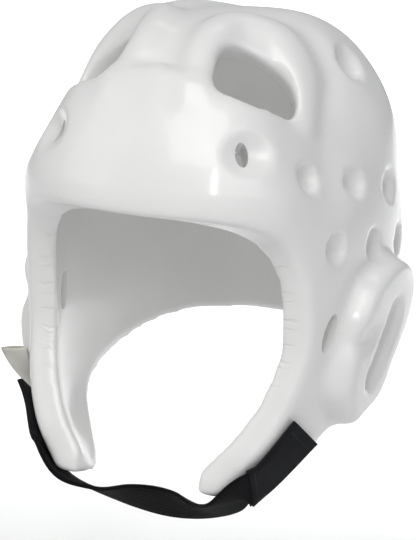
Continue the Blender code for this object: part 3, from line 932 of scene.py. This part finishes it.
@dataclass
class ChinStrap:
    """Elastic under the chin with a hook tab at each end."""

    form: GuardForm
    width: float = 0.030
    tab_width: float = 0.034
    elastic_thickness: float = 0.0024
    tab_thickness: float = 0.0036
    tab_share: float = 0.30
    clearance: float = 0.0010
    steps: int = 12
    free: tuple[tuple[float, ...], ...] = (
        (0.00, 0.575, 1.044, 38.0), (0.20, 0.600, 1.038, 46.0), (0.40, 0.685, 1.020, 70.0))
    on_skin: Outline = ((33.5, 0.964), (43.0, 0.926), (56.5, 0.840))
    lift: float = 0.0030
    lift_rows: int = 7
    stitch_length: float = 0.0022
    stitch_width: float = 0.0006
    stitch_count: int = 9
    stitch_inset: int = 2
    stitch_margin: float = 0.003

    def frames(self) -> Strip:
        """Middle point, direction across and direction outwards along the whole strap."""
        points, outs = [], []
        for side, ahead, drop, lean in self.free:
            points.append(Vector((
                side * self.form.half_width, -ahead * self.form.front_reach, self.form.wall - drop * self.form.height)))
            outs.append(Vector((0.0, -math.cos(math.radians(lean)), -math.sin(math.radians(lean)))))
        for turn, drop in self.on_skin:
            points.append(self.form.point(turn, drop, self.clearance + 0.5 * self.tab_thickness))
            outs.append(self.form.normal(turn, drop))
        mirror = Matrix.Diagonal((-1.0, 1.0, 1.0))
        points = [mirror @ point for point in points[:0:-1]] + points
        outs = [mirror @ out for out in outs[:0:-1]] + outs
        path, facing = smooth_path(points, self.steps), smooth_path(outs, self.steps)
        frames = []
        for index, point in enumerate(path):
            ahead = (path[min(index + 1, len(path) - 1)] - path[max(index - 1, 0)]).normalized()
            out = (facing[index] - ahead * facing[index].dot(ahead)).normalized()
            rise = self.lift * max(0.0, 1.0 - index / self.lift_rows) ** 2
            frames.append((point + out * rise, ahead.cross(out), out))
        return frames

    def band(self, name: str, frames: Strip, width: float, thickness: float) -> Thing:
        """Flat band with rounded sides along some frames.

        Args:
            name: Name of the object.
            frames: Frames along the band.
            width: Full width.
            thickness: Full thickness.

        Returns:
            The band as an object, with its width and length as UV in metres.
        """
        half, radius = 0.5 * width, 0.5 * thickness
        section = []
        for side in SIDES:
            for step in range(5):
                angle = math.radians(-90.0 + 45.0 * step) * side
                section.append((side * (half - radius + radius * math.cos(angle)), radius * math.sin(angle)))
            section += [(side * share * half, side * radius) for share in (0.5, 0.0, -0.5)]
        rings, spots, way = [], [], 0.0
        for index, (point, across, out) in enumerate(frames):
            way += (point - frames[index - 1][0]).length if index else 0.0
            rings.append([point + across * a + out * b for a, b in section])
            spots.append([(a, way) for a, _ in section])
        return closed_body(name, rings, spots)

    def stitches(self, name: str, frames: Strip) -> Thing:
        """Threads in a line across a tab near both of its ends.

        Args:
            name: Name of the object.
            frames: Frames along the tab.

        Returns:
            The threads as one object.
        """
        bm = bmesh.new()
        for index in (self.stitch_inset, len(frames) - 1 - self.stitch_inset):
            point, across, out = frames[index]
            turned = Matrix((across, out.cross(across), out)).transposed().to_4x4()
            for step in range(self.stitch_count):
                share = (step + 0.5) / self.stitch_count - 0.5
                side = across * share * (self.tab_width - self.stitch_margin)
                turned.translation = point + side + out * 0.5 * self.tab_thickness
                half_width = 0.5 * self.stitch_width
                size = Matrix.Diagonal((0.5 * self.stitch_length, half_width, half_width, 1.0))
                bmesh.ops.create_uvsphere(bm, u_segments=6, v_segments=4, radius=1.0, matrix=turned @ size)
        thing = make_object(name, bm)
        thing.data.shade_smooth()
        return thing

    def build(self) -> dict[str, Thing]:
        """Build the elastic, both tabs and their stitches.

        Returns:
            The objects by name.
        """
        frames = self.frames()
        tab = round(len(frames) * 0.5 * self.tab_share)
        right, left = frames[:tab + 1], frames[len(frames) - tab - 1:]
        return {
            "elastic": self.band("chin_band", frames[tab:len(frames) - tab], self.width, self.elastic_thickness),
            "tab_right": self.band("hook_tab_right", right, self.tab_width, self.tab_thickness),
            "tab_left": self.band("hook_tab_left", left, self.tab_width, self.tab_thickness),
            "stitches_right": self.stitches("tab_stitches_right", right),
            "stitches_left": self.stitches("tab_stitches_left", left),
        }


@dataclass
class SideLabel:
    """Small blank cloth label, folded in two, on the right cheek."""

    form: GuardForm
    turn_top: float = 53.0
    turn_bottom: float = 61.0
    drop: float = 0.792
    width: float = 0.016
    height: float = 0.029
    thickness: float = 0.0006
    spread: float = 0.0030
    root_gap: float = 0.0008
    root_share: float = 0.45
    twist_top: float = 0.0
    twist_bottom: float = 32.0
    rows: int = 14
    columns: int = 10

    def build(self) -> Thing:
        """Build the label as a closed folded sheet.

        Returns:
            The label, with UV in metres.
        """
        outer = []
        for step in range(self.columns + 1):
            share = step / self.columns
            belly = self.root_share + (1.0 - self.root_share) * math.sin(math.pi * share)
            bulge = self.spread * belly * math.sqrt(max(0.0, 1.0 - share**4))
            outer.append((bulge, self.root_gap + share * (self.width - self.root_gap)))
        outer += [(-x, z) for x, z in reversed(outer[:-1])]
        inner = []
        for x, z in outer:
            thin = max(0.0, abs(x) - self.thickness)
            inner.append((math.copysign(thin, x), z - (self.thickness if thin == 0.0 else 0.0)))
        ring = outer + list(reversed(inner))
        rings, spots = [], []
        for row in range(self.rows + 1):
            share = row / self.rows
            twist = math.radians(self.twist_bottom + (self.twist_top - self.twist_bottom) * share)
            cosine, sine = math.cos(twist), math.sin(twist)
            turn = self.turn_bottom + (self.turn_top - self.turn_bottom) * share
            place = self.form.frame(turn, self.drop + (0.5 - share) * self.height / self.form.height, -1.0)
            rings.append([place @ Vector((x * cosine + z * sine, 0.0, z * cosine - x * sine)) for x, z in ring])
            spots.append([(math.copysign(z, x), share * self.height) for x, z in ring])
        return closed_body("label_fold", rings, spots)


class Sheet:
    """Small helper that builds the nodes of one tree."""

    def __init__(self, tree: Tree) -> None:
        """Keep the tree.

        Args:
            tree: Node tree to build in.
        """
        self.tree = tree

    def node(self, kind: str, settings: dict | None = None, **inputs: object) -> Node:
        """Add a node.

        Args:
            kind: Type name of the node.
            settings: Properties of the node.
            inputs: Values or sockets for its inputs, with spaces written as underscores.

        Returns:
            The node.
        """
        made = self.tree.nodes.new(kind)
        for name, value in (settings or {}).items():
            setattr(made, name, value)
        return self.feed_named(made, **inputs)

    def feed(self, socket: Socket, value: object) -> None:
        """Link a socket or set its value."""
        if isinstance(value, Socket):
            self.tree.links.new(value, socket)
        else:
            socket.default_value = value

    def feed_named(self, node: Node, **inputs: object) -> Node:
        """Feed a node's inputs by name, with spaces written as underscores, and give the node."""
        for name, value in inputs.items():
            self.feed(node.inputs[name.replace("_", " ")], value)
        return node

    def feed_row(self, node: Node, *values: object) -> Socket:
        """Feed a node's inputs in order and give its first output."""
        for socket, value in zip(node.inputs, values):
            self.feed(socket, value)
        return node.outputs[0]

    def give(self, value: Socket) -> Tree:
        """Send a value out of a group and give the group."""
        self.feed(self.node("NodeGroupOutput").inputs[0], value)
        return self.tree

    def math(self, operation: str, *values: object) -> Socket:
        """Result of a maths node."""
        return self.feed_row(self.node("ShaderNodeMath", {"operation": operation}), *values)

    def times(self, first: object, second: object) -> Socket:
        """Product of two values."""
        return self.math("MULTIPLY", first, second)

    def noise(self, where: object, scale: object, detail: float, roughness: float = 0.5) -> Socket:
        """Noise in space."""
        made = self.node("ShaderNodeTexNoise", Vector=where, Scale=scale, Detail=detail, Roughness=roughness)
        return made.outputs[0]

    def rise(self, value: object, low: float, high: float, start: float = 0.0, end: float = 1.0) -> Socket:
        """Value mapped smoothly from low and high to start and end."""
        return self.feed_row(
            self.node("ShaderNodeMapRange", {"interpolation_type": "SMOOTHSTEP"}), value, low, high, start, end)

    def mix(self, share: object, first: object, second: object) -> Socket:
        """Mix of two colours."""
        made = self.node("ShaderNodeMix", {"data_type": "RGBA"})
        for socket, part in zip((made.inputs[0], made.inputs[6], made.inputs[7]), (share, first, second)):
            self.feed(socket, part)
        return made.outputs[2]


def new_group(name: str, *floats: str) -> tuple[Sheet, Node]:
    """Start a node group that takes a vector and some numbers and gives one value.

    Args:
        name: Name of the group.
        floats: Names of the numbers it takes.

    Returns:
        A helper for the group and the group's input node.
    """
    group = bpy.data.node_groups.new(name, "ShaderNodeTree")
    group.interface.new_socket("Vector", in_out="INPUT", socket_type="NodeSocketVector")
    for label in floats:
        group.interface.new_socket(label, in_out="INPUT", socket_type="NodeSocketFloat")
    group.interface.new_socket("Value", in_out="OUTPUT", socket_type="NodeSocketFloat")
    sheet = Sheet(group)
    return sheet, sheet.node("NodeGroupInput")


def mottle_group(roughness: float = 0.45, low: float = 0.22, high: float = 0.78) -> Tree:
    """Soft patches from 0 to 1."""
    sheet, given = new_group("surface_mottle", "Scale")
    noise = sheet.noise(given.outputs[0], given.outputs[1], 1.0, roughness)
    return sheet.give(sheet.rise(noise, low, high))


def grain_group(cells: float = 48.0, pit_edge: Pair = (0.022, 0.036), plain_share: float = 0.90,
                ripple_height: float = 0.06, pit_depth: float = 0.90) -> Tree:
    """Fine grain of a dipped skin: small ripples and a few pinholes."""
    sheet, given = new_group("dipped_grain", "Scale")
    ripple = sheet.noise(given.outputs[0], given.outputs[1], 2.0)
    spots = sheet.node("ShaderNodeTexVoronoi", Vector=given.outputs[0], Scale=cells)
    rare = sheet.node("ShaderNodeSeparateColor", Color=spots.outputs["Color"])
    pit = sheet.rise(spots.outputs["Distance"], *pit_edge)
    held = sheet.math("MAXIMUM", pit, sheet.math("GREATER_THAN", plain_share, rare.outputs[0]))
    return sheet.give(sheet.math("ADD", sheet.times(ripple, ripple_height), sheet.times(held, pit_depth)))


def weave_group(rib_share: float = 0.35, pick_share: float = 0.15) -> Tree:
    """Woven band from UV in metres: ribs along it and picks across it."""
    sheet, given = new_group("woven_band", "Ribs", "Picks")
    parts = sheet.node("ShaderNodeSeparateXYZ", Vector=given.outputs[0])
    rib, pick = (sheet.math("SINE", sheet.times(parts.outputs[axis], given.outputs[axis + 1])) for axis in (0, 1))
    woven = sheet.math("ADD", sheet.times(rib, rib_share), sheet.times(sheet.times(rib, pick), pick_share))
    return sheet.give(sheet.math("ADD", woven, 0.5))


def use_group(sheet: Sheet, group: Tree, *values: object) -> Socket:
    """Place a group and give its value.

    Args:
        sheet: Helper of the tree that takes the group.
        group: Group to use.
        values: Values or sockets for its inputs in order.

    Returns:
        The group's output.
    """
    return sheet.feed_row(sheet.node("ShaderNodeGroup", {"node_tree": group}), *values)


def start_material(name: str) -> tuple[Material, Sheet, Node, Socket]:
    """New material with a helper for its nodes, its main shader and its object coordinates."""
    material = bpy.data.materials.new(name)
    material.use_nodes = True
    sheet = Sheet(material.node_tree)
    where = sheet.node("ShaderNodeTexCoord").outputs["Object"]
    return material, sheet, material.node_tree.nodes["Principled BSDF"], where


@dataclass(frozen=True)
class VinylFinish:
    """Glossy white dipped vinyl over foam."""

    bright: Colour = (0.845, 0.845, 0.835, 1.0)
    dull: Colour = (0.825, 0.824, 0.812, 1.0)
    smooth: float = 0.30
    rough: float = 0.38
    coat: float = 0.45
    coat_roughness: float = 0.11
    patch_scale: float = 26.0
    sheen_scale: float = 80.6
    grain_scale: float = 420.0
    bump_strength: float = 0.5
    bump_distance: float = 0.0011
    grain_share: float = 0.10
    crease_share: float = 0.75
    crease_scale: float = 62.0
    crease_width: float = 0.032
    crease_wander: float = 0.006
    wander_scale: float = 90.0
    near_edge: Pair = (0.003, 0.008)
    in_wall: Pair = (0.006, 0.013)
    crease_start: Pair = (0.052, 0.070)
    crease_end: Pair = (0.140, 0.165)

    def build(self, mottle: Tree, grain: Tree) -> Material:
        """Build the material.

        Args:
            mottle: Group of soft patches.
            grain: Group of fine grain.

        Returns:
            The material.
        """
        material, sheet, shader, where = start_material("dipped_vinyl_skin")
        patches, sheen = (use_group(sheet, mottle, where, scale) for scale in (self.patch_scale, self.sheen_scale))
        fine = use_group(sheet, grain, where, self.grain_scale)
        near, along, deep = (
            sheet.node("ShaderNodeAttribute", {"attribute_name": name}).outputs["Fac"]
            for name in ("edge_near", "edge_along", "edge_deep")
        )
        wander = sheet.noise(where, self.wander_scale, 0.0)
        bent = sheet.math("ADD", along, sheet.times(wander, self.crease_wander))
        lines = sheet.node(
            "ShaderNodeTexNoise", {"noise_dimensions": "1D"}, W=bent, Scale=self.crease_scale, Detail=1.0)
        middle = sheet.math("ABSOLUTE", sheet.math("SUBTRACT", lines.outputs[0], 0.5))
        crease = sheet.rise(middle, 0.0, self.crease_width, 1.0, 0.0)
        for mask in (
            sheet.rise(near, *self.near_edge, 1.0, 0.0), sheet.rise(deep, *self.in_wall),
            sheet.rise(along, *self.crease_start), sheet.rise(along, *self.crease_end, 1.0, 0.0),
        ):
            crease = sheet.times(crease, mask)
        height = sheet.math(
            "SUBTRACT", sheet.times(fine, self.grain_share), sheet.times(crease, self.crease_share))
        bump = sheet.node("ShaderNodeBump", Strength=self.bump_strength, Distance=self.bump_distance, Height=height)
        sheet.feed_named(
            shader, Base_Color=sheet.mix(patches, self.dull, self.bright), Normal=bump.outputs[0],
            Roughness=sheet.rise(sheen, 0.0, 1.0, self.smooth, self.rough), Coat_Weight=self.coat,
            Coat_Roughness=self.coat_roughness)
        return material


@dataclass(frozen=True)
class BandFinish:
    """Woven or piled dark band."""

    name: str
    dark: Colour
    light: Colour
    ribs: float
    picks: float
    pile: float
    depth: float
    worn_scale: float = 60.0
    fuzz_share: float = 0.6
    bump_strength: float = 0.8
    woven_tone: float = 0.6
    worn_tone: float = 0.4
    rough: float = 0.82
    specular: float = 0.08
    sheen: float = 0.02
    sheen_rough: float = 0.5

    def build(self, mottle: Tree, weave: Tree) -> Material:
        """Build the material.

        Args:
            mottle: Group of soft patches.
            weave: Group of a woven band.

        Returns:
            The material.
        """
        material, sheet, shader, where = start_material(self.name)
        across = sheet.node("ShaderNodeUVMap", {"uv_map": "UVMap"}).outputs[0]
        woven = use_group(sheet, weave, across, self.ribs, self.picks)
        fuzz = sheet.noise(where, self.pile, 3.0)
        worn = use_group(sheet, mottle, where, self.worn_scale)
        height = sheet.math("ADD", woven, sheet.times(fuzz, self.fuzz_share))
        bump = sheet.node("ShaderNodeBump", Strength=self.bump_strength, Distance=self.depth, Height=height)
        tone = sheet.math("ADD", sheet.times(woven, self.woven_tone), sheet.times(worn, self.worn_tone))
        sheet.feed_named(
            shader, Base_Color=sheet.mix(tone, self.dark, self.light), Normal=bump.outputs[0], Roughness=self.rough,
            Specular_IOR_Level=self.specular, Sheen_Weight=self.sheen, Sheen_Roughness=self.sheen_rough)
        return material


BAND_FINISHES = (
    BandFinish("chin_elastic_weave", (0.0025, 0.0026, 0.003, 1.0), (0.009, 0.0093, 0.011, 1.0), 3600.0, 5200.0, 1500.0,
               0.00035),
    BandFinish("hook_tab_pile", (0.006, 0.0063, 0.0075, 1.0), (0.019, 0.0195, 0.022, 1.0), 5400.0, 5400.0, 2600.0,
               0.00030),
    BandFinish("stitch_thread", (0.034, 0.035, 0.040, 1.0), (0.070, 0.072, 0.080, 1.0), 9000.0, 9000.0, 3000.0,
               0.00010),
    BandFinish("label_weave", (0.66, 0.64, 0.58, 1.0), (0.80, 0.78, 0.72, 1.0), 9000.0, 9000.0, 2200.0, 0.00012),
)


@dataclass(frozen=True)
class PaperFinish:
    """Pale matt finish of the floor and backdrop."""

    bright: Colour = (0.93, 0.93, 0.93, 1.0)
    dull: Colour = (0.92, 0.92, 0.92, 1.0)
    patch_scale: float = 2.0
    rough: float = 0.9

    def build(self, mottle: Tree) -> Material:
        """Build the material.

        Args:
            mottle: Group of soft patches.

        Returns:
            The material.
        """
        material, sheet, shader, where = start_material("studio_paper")
        patches = use_group(sheet, mottle, where, self.patch_scale)
        sheet.feed_named(shader, Base_Color=sheet.mix(patches, self.dull, self.bright), Roughness=self.rough)
        return material


@dataclass
class Studio:
    """Camera at the photograph's angle, soft lights, floor and backdrop."""

    turn: float = 27.0
    climb: float = 16.5
    distance: float = 2.2
    target: Vector = field(default_factory=lambda: Vector((0.0, 0.0, -0.136)))
    pixel: float = 0.00058
    height_px: int = 540
    sensor: float = 24.0
    shift_px: float = -5.0
    floor_z: float = -0.42
    world_light: float = 0.34
    lamps: tuple[tuple[str, float, float, float, Pair, float, tuple[float, float, float]], ...] = (
        ("key", 8.0, 52.0, 1.6, (0.95, 0.85), 9.2, (1.0, 0.995, 0.98)),
        ("left_fill", -50.0, 30.0, 1.6, (0.80, 0.80), 2.0, (1.0, 0.995, 0.98)),
        ("side_fill", 50.0, 36.0, 1.6, (0.90, 0.90), 3.0, (0.98, 0.99, 1.0)),
        ("glint", 21.0, 31.0, 1.8, (0.12, 0.34), 2.4, (1.0, 1.0, 1.0)),
    )
    sweep_flat: float = 2.7
    sweep_bend: float = 0.9
    sweep_top: float = 3.4
    sweep_half_width: float = 3.4
    sweep_thickness: float = 0.02

    def direction(self, turn: float, climb: float) -> Vector:
        """Direction from the target at a turn and a climb in degrees."""
        a, e = math.radians(turn), math.radians(climb)
        return Vector((math.sin(a) * math.cos(e), -math.cos(a) * math.cos(e), math.sin(e)))

    def camera(self) -> None:
        """Place the camera."""
        data = bpy.data.cameras.new("camera")
        data.sensor_fit = "VERTICAL"
        data.sensor_height = self.sensor
        data.lens = self.sensor * self.distance / (self.height_px * self.pixel)
        data.shift_x = self.shift_px / self.height_px
        camera = add_object("camera", data)
        way = self.direction(self.turn, self.climb)
        camera.location = self.target + way * self.distance
        camera.rotation_euler = (-way).to_track_quat("-Z", "Y").to_euler()
        bpy.context.scene.camera = camera

    def lamp(self, name: str, turn: float, climb: float, away: float, size: Pair, power: float,
             colour: tuple[float, float, float], aim: Vector | None = None, spot: Vector | None = None
             ) -> Thing:
        """Place one soft rectangular light, round the target or at a given spot."""
        data = bpy.data.lights.new(name, "AREA")
        data.shape = "RECTANGLE"
        data.size, data.size_y = size
        data.energy = power
        data.color = colour
        lamp = add_object(name, data)
        lamp.location = self.target + self.direction(turn, climb) * away if spot is None else spot
        goal = self.target if aim is None else aim
        lamp.rotation_euler = (goal - lamp.location).to_track_quat("-Z", "Y").to_euler()
        return lamp

    def backdrop(self) -> Thing:
        """Floor that sweeps up behind into a backdrop, turned to face the camera."""
        spin = Matrix.Rotation(math.radians(self.turn), 4, "Z")
        flat, bend, thick = self.sweep_flat, self.sweep_bend, self.sweep_thickness
        profile = [(-flat, 0.0), (flat, 0.0)]
        for step in range(1, 11):
            angle = math.radians(9.0 * step)
            profile.append((flat + bend * math.sin(angle), bend - bend * math.cos(angle)))
        profile.append((flat + bend, self.sweep_top))
        profile += [(y + thick, z - thick) for y, z in reversed(profile)]
        thing = closed_body("studio_sweep", [
            [spin @ Vector((side * self.sweep_half_width, y, z + self.floor_z)) for y, z in profile]
            for side in (-1.0, 1.0)])
        thing.data.shade_smooth()
        thing.data.set_sharp_from_angle(angle=math.radians(40.0))
        return thing

    def build(self, paper: Material) -> Thing:
        """Set the stage.

        Args:
            paper: Material of the floor and backdrop.

        Returns:
            The floor and backdrop.
        """
        scene = bpy.context.scene
        self.camera()
        world = bpy.data.worlds.new("studio_world")
        world.use_nodes = True
        light = world.node_tree.nodes["Background"]
        light.inputs[0].default_value = (0.97, 0.985, 1.0, 1.0)
        light.inputs[1].default_value = self.world_light
        scene.world = world
        for row in self.lamps:
            self.lamp(*row)
        behind = Matrix.Rotation(math.radians(self.turn), 3, "Z") @ Vector((0.0, 1.5, self.floor_z))
        above = behind + Vector((0.0, 0.0, 1.5))
        paper_lamp = self.lamp("paper_light", 0.0, 0.0, 1.0, (2.8, 1.8), 25.0, (1.0, 1.0, 1.0), behind, above)
        paper_lamp.data.spread = math.radians(60.0)
        sweep = self.backdrop()
        sweep.data.materials.append(paper)
        scene.view_settings.view_transform = "Standard"
        scene.view_settings.look = "None"
        return sweep


def place(piece: Thing, slot: Slot, material: Material, *nodes: str) -> None:
    """Dress one piece and tie it to the body.

    Args:
        piece: Finished object.
        slot: Material slot of the record; not used.
        material: Its material.
        nodes: Nodes of the frame that it stands for.
    """
    piece.data.materials.clear()
    piece.data.materials.append(material)
    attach(piece, BODY)
    if nodes:
        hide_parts(*nodes)
    LOG.info("%s %d faces", piece.name, len(piece.data.polygons))


def main() -> None:
    """Build every piece, dress it and set the stage."""
    logging.basicConfig(level=logging.INFO, format="%(message)s")
    form = GuardForm()
    mottle, grain, weave = mottle_group(), grain_group(), weave_group()
    vinyl = VinylFinish().build(mottle, grain)
    elastic, hook, thread, cloth = (finish.build(mottle, weave) for finish in BAND_FINISHES)
    skin = GuardSkin(form).build()
    place(skin, Slot.VINYL, vinyl, "shell", "forehead_pad", "ear_cup_left", "ear_cup_right")
    strap = ChinStrap(form).build()
    place(strap["elastic"], Slot.ELASTIC, elastic, "chin_elastic")
    for side in ("right", "left"):
        place(strap[f"tab_{side}"], Slot.FABRIC, hook, f"strap_tab_{side}")
    for side in ("right", "left"):
        place(strap[f"stitches_{side}"], Slot.FABRIC, thread)
    label = SideLabel(form)
    cloth_piece = label.build()
    place(cloth_piece, Slot.LABEL, cloth, "side_label")
    Studio().build(PaperFinish().build(mottle))


if __name__ == "__main__":
    main()
